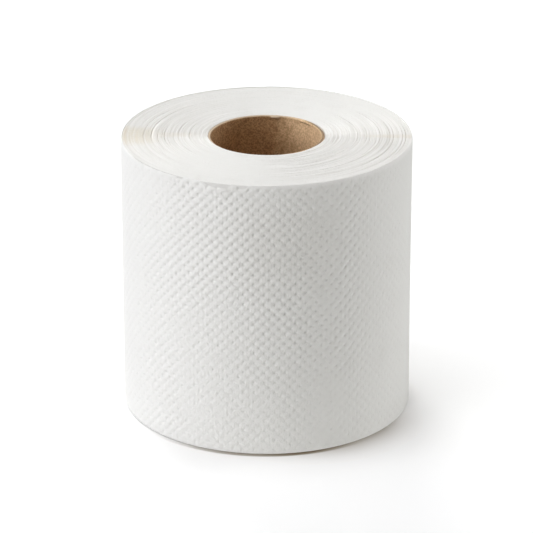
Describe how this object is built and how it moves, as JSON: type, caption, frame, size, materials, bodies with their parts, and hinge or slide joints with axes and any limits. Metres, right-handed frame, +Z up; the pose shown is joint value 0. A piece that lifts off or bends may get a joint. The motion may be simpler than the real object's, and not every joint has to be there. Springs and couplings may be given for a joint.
{
  "type": "toilet paper roll",
  "caption": "Full roll of white embossed toilet paper wound on a brown cardboard tube, standing on its end.",
  "frame": {"origin": "centre of the lower end, on the roll's axis, where the roll stands on a surface", "axes": "+Z up along the roll's axis; the loose end of the sheet lies at +Y, so -Y is the side that the picture shows"},
  "size_m": [0.1021, 0.1022, 0.1],
  "materials": {
    "tissue": "matte",
    "cardboard": "matte"
  },
  "bodies": {
    "root": {"tissue_roll": "tissue", "core_tube": "cardboard"}
  },
  "joints": []
}
